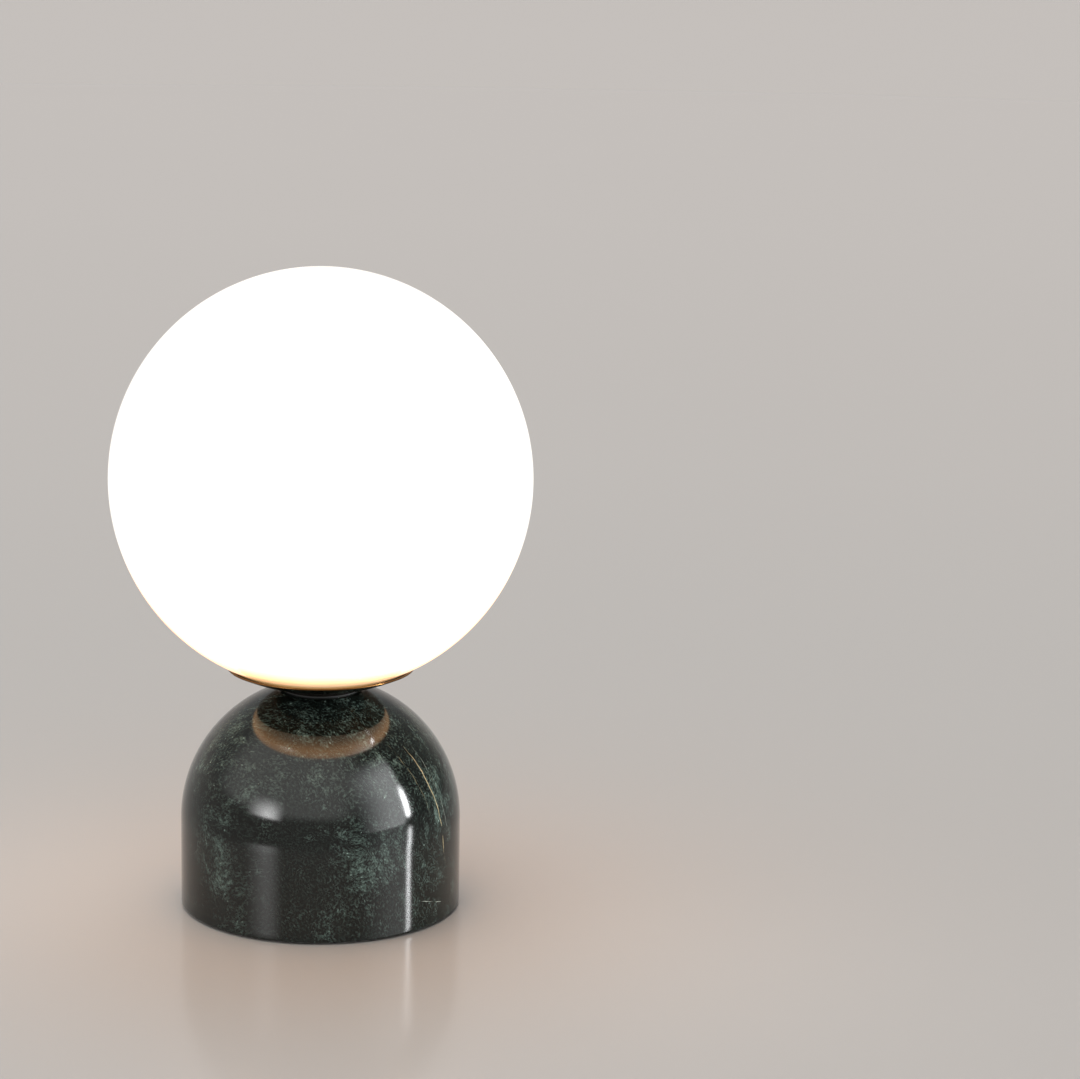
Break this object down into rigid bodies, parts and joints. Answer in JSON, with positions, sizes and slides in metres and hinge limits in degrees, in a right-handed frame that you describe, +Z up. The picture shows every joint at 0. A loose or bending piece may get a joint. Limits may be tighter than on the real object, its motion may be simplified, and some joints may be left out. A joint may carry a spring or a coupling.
{
  "type": "table lamp",
  "caption": "Small table lamp: a glowing opal glass globe cupped in a shallow brass dish on a domed, polished dark green marble base.",
  "frame": {"origin": "on the table, under the middle of the base", "axes": "+Z up through the middle of the globe; -Y is the side that the picture shows, +Y the side with the cord's inlet"},
  "size_m": [0.2, 0.2, 0.308],
  "materials": {
    "marble": "dark green marble, mirror polished, with cloudy paler green patches and thin pale veins",
    "felt": "thin black felt",
    "steel": "bright zinc-plated steel",
    "spring_steel": "spring steel",
    "insert_brass": "plain turned brass",
    "black_plastic": "black nylon",
    "connector_plastic": "natural nylon",
    "live_wire": "brown insulation",
    "neutral_wire": "blue insulation",
    "rubber": "black rubber",
    "polished_brass": "dark polished brass",
    "holder_plastic": "white thermoset",
    "holder_ceramic": "steatite",
    "bulb_metal": "nickel-plated sheet",
    "solder": "dull solder",
    "black_glass": "black insulating glass",
    "white_plastic": "white frosted polycarbonate",
    "circuit_board": "green circuit board",
    "led_aluminium": "white-lacquered aluminium disc",
    "phosphor": "yellow phosphor",
    "opal_glass": "blown opal glass, gloss outside"
  },
  "bodies": {
    "lamp": {"marble_base": "marble", "foot_pad": "felt", "bottom_cover": "steel", "mounting_disc": "steel", "lock_washer": "steel", "base_nut": "steel", "gallery_plate": "steel", "dish_nut": "steel", "cover_screws": "steel", "block_screw": "steel", "spring_rivets": "steel", "gallery_springs": "spring_steel", "cover_inserts": "insert_brass", "terminal_tubes": "insert_brass", "terminal_screws": "insert_brass", "side_contact": "insert_brass", "centre_contact": "insert_brass", "contact_screws": "insert_brass", "threaded_tube": "insert_brass", "cable_gland": "black_plastic", "gland_nut": "black_plastic", "terminal_block": "connector_plastic", "live_lead": "live_wire", "neutral_lead": "neutral_wire", "dish_gasket": "rubber", "globe_gasket": "rubber", "brass_dish": "polished_brass", "holder_cap": "holder_plastic", "holder_barrel": "holder_plastic", "holder_core": "holder_ceramic"},
    "globe": {"glass_globe": "opal_glass"},
    "bulb_carrier": {"bulb_tip": "solder"},
    "bulb": {"bulb_insulator": "black_glass", "bulb_shell": "bulb_metal", "bulb_housing": "white_plastic", "driver_board": "circuit_board", "led_board": "led_aluminium", "led_chips": "phosphor", "bulb_dome": "white_plastic"}
  },
  "joints": [
    {"name": "globe_lift", "type": "slide", "parent": "lamp", "child": "globe", "axis": [0, 0, 1], "range_m": [0, 0.13]},
    {"name": "bulb_lift", "type": "slide", "parent": "lamp", "child": "bulb_carrier", "axis": [0, 0, 1], "range_m": [0, 0.01815]},
    {"name": "bulb_turn", "type": "hinge", "parent": "bulb_carrier", "child": "bulb", "pos_m": [0, 0, 0.15], "axis": [0, 0, 1], "range_deg": [0, 1800]}
  ],
  "couplings": [
    {"joint": "bulb_lift", "follows": "bulb_turn", "m_per_rad": 0.00057757}
  ]
}
